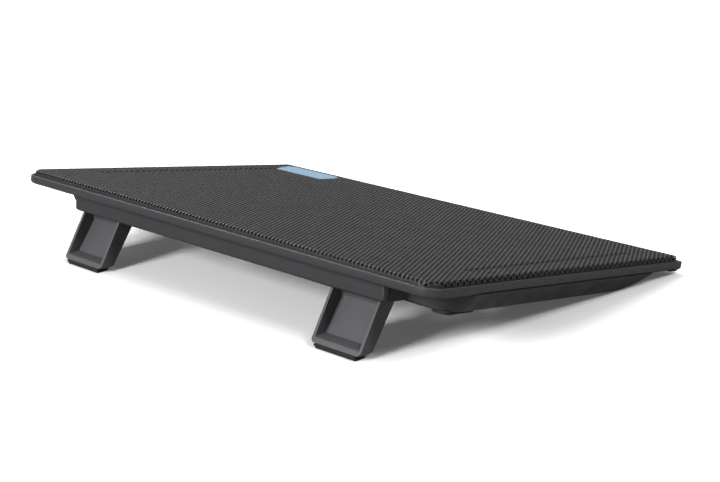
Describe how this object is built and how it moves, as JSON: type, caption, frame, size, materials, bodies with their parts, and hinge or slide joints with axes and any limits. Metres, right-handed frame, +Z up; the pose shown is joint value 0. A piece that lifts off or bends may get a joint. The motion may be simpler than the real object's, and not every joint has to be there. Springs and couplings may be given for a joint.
{
  "type": "laptop cooling pad",
  "caption": "Slim laptop cooling pad: perforated steel deck in a plastic rim, fans below, and flip-out legs that raise the rear edge.",
  "frame": {"origin": "centre of the bounding box's bottom: the ground under the standing pad", "axes": "+X along the long edge, +Z up from the ground, +Y horizontal from the raised leg edge to the low front edge; left is -X and right is +X as seen from behind the leg edge; the deck is tilted 10 degrees about X"},
  "size_m": [0.36, 0.252, 0.054],
  "materials": {
    "deck_steel": "black powder coat on perforated steel",
    "badge_blue": "satin sky blue",
    "rim_plastic": "fine moulded grain, dark warm grey",
    "shell_plastic": "moulded grain, near black",
    "leg_plastic": "smooth satin, dark grey",
    "fan_plastic": "black satin",
    "rubber": "matt black",
    "bright_steel": "plated",
    "bearing_bronze": "sintered bronze",
    "winding_copper": "laminations with enamelled copper",
    "magnet_ferrite": "dull grey ferrite",
    "board_green": "green solder mask",
    "switch_plastic": "black",
    "cable_jacket": "soft matt jacket",
    "screw_steel": "zinc plated"
  },
  "bodies": {
    "root": {"mesh_deck": "deck_steel", "badge_plate": "badge_blue", "upper_frame": "rim_plastic", "lower_shell": "shell_plastic", "rear_foot_left": "rubber", "front_foot_left": "rubber", "leg_hinge_pin_left": "bright_steel", "fan_frame_left": "fan_plastic", "fan_bearing_left": "bearing_bronze", "fan_stator_left": "winding_copper", "rear_foot_right": "rubber", "front_foot_right": "rubber", "leg_hinge_pin_right": "bright_steel", "fan_frame_right": "fan_plastic", "fan_bearing_right": "bearing_bronze", "fan_stator_right": "winding_copper", "control_board": "board_green", "usb_socket_rear": "bright_steel", "usb_socket_front": "bright_steel", "switch_body": "bright_steel", "usb_plug_shell": "bright_steel", "usb_cable": "cable_jacket", "usb_plug_body": "cable_jacket", "cable_grommet": "rubber", "case_screw_1": "screw_steel", "case_screw_2": "screw_steel", "case_screw_3": "screw_steel", "case_screw_4": "screw_steel", "case_screw_5": "screw_steel", "case_screw_6": "screw_steel", "case_screw_7": "screw_steel"},
    "leg_left": {"leg_left": "leg_plastic", "leg_sole_left": "rubber"},
    "fan_left": {"fan_rotor_left": "fan_plastic", "fan_shaft_left": "bright_steel", "fan_magnet_left": "magnet_ferrite"},
    "leg_right": {"leg_right": "leg_plastic", "leg_sole_right": "rubber"},
    "fan_right": {"fan_rotor_right": "fan_plastic", "fan_shaft_right": "bright_steel", "fan_magnet_right": "magnet_ferrite"},
    "switch": {"switch_slider": "switch_plastic"}
  },
  "joints": [
    {"name": "leg_left_fold", "type": "hinge", "parent": "root", "child": "leg_left", "pos_m": [-0.1135, -0.0975, 0.03608], "axis": [1, 0, 0], "range_deg": [0, 114.3]},
    {"name": "leg_right_fold", "type": "hinge", "parent": "root", "child": "leg_right", "pos_m": [0.1135, -0.0975, 0.03608], "axis": [1, 0, 0], "range_deg": [0, 114.3]},
    {"name": "fan_left_spin", "type": "hinge", "parent": "root", "child": "fan_left", "pos_m": [-0.072, 0.00455, 0.02164], "axis": [0, 0.1736, 0.9848], "continuous": true},
    {"name": "fan_right_spin", "type": "hinge", "parent": "root", "child": "fan_right", "pos_m": [0.072, 0.00455, 0.02164], "axis": [0, 0.1736, 0.9848], "continuous": true},
    {"name": "switch_slide", "type": "slide", "parent": "root", "child": "switch", "axis": [0, 0.9848, -0.1736], "range_m": [0, 0.003]}
  ]
}
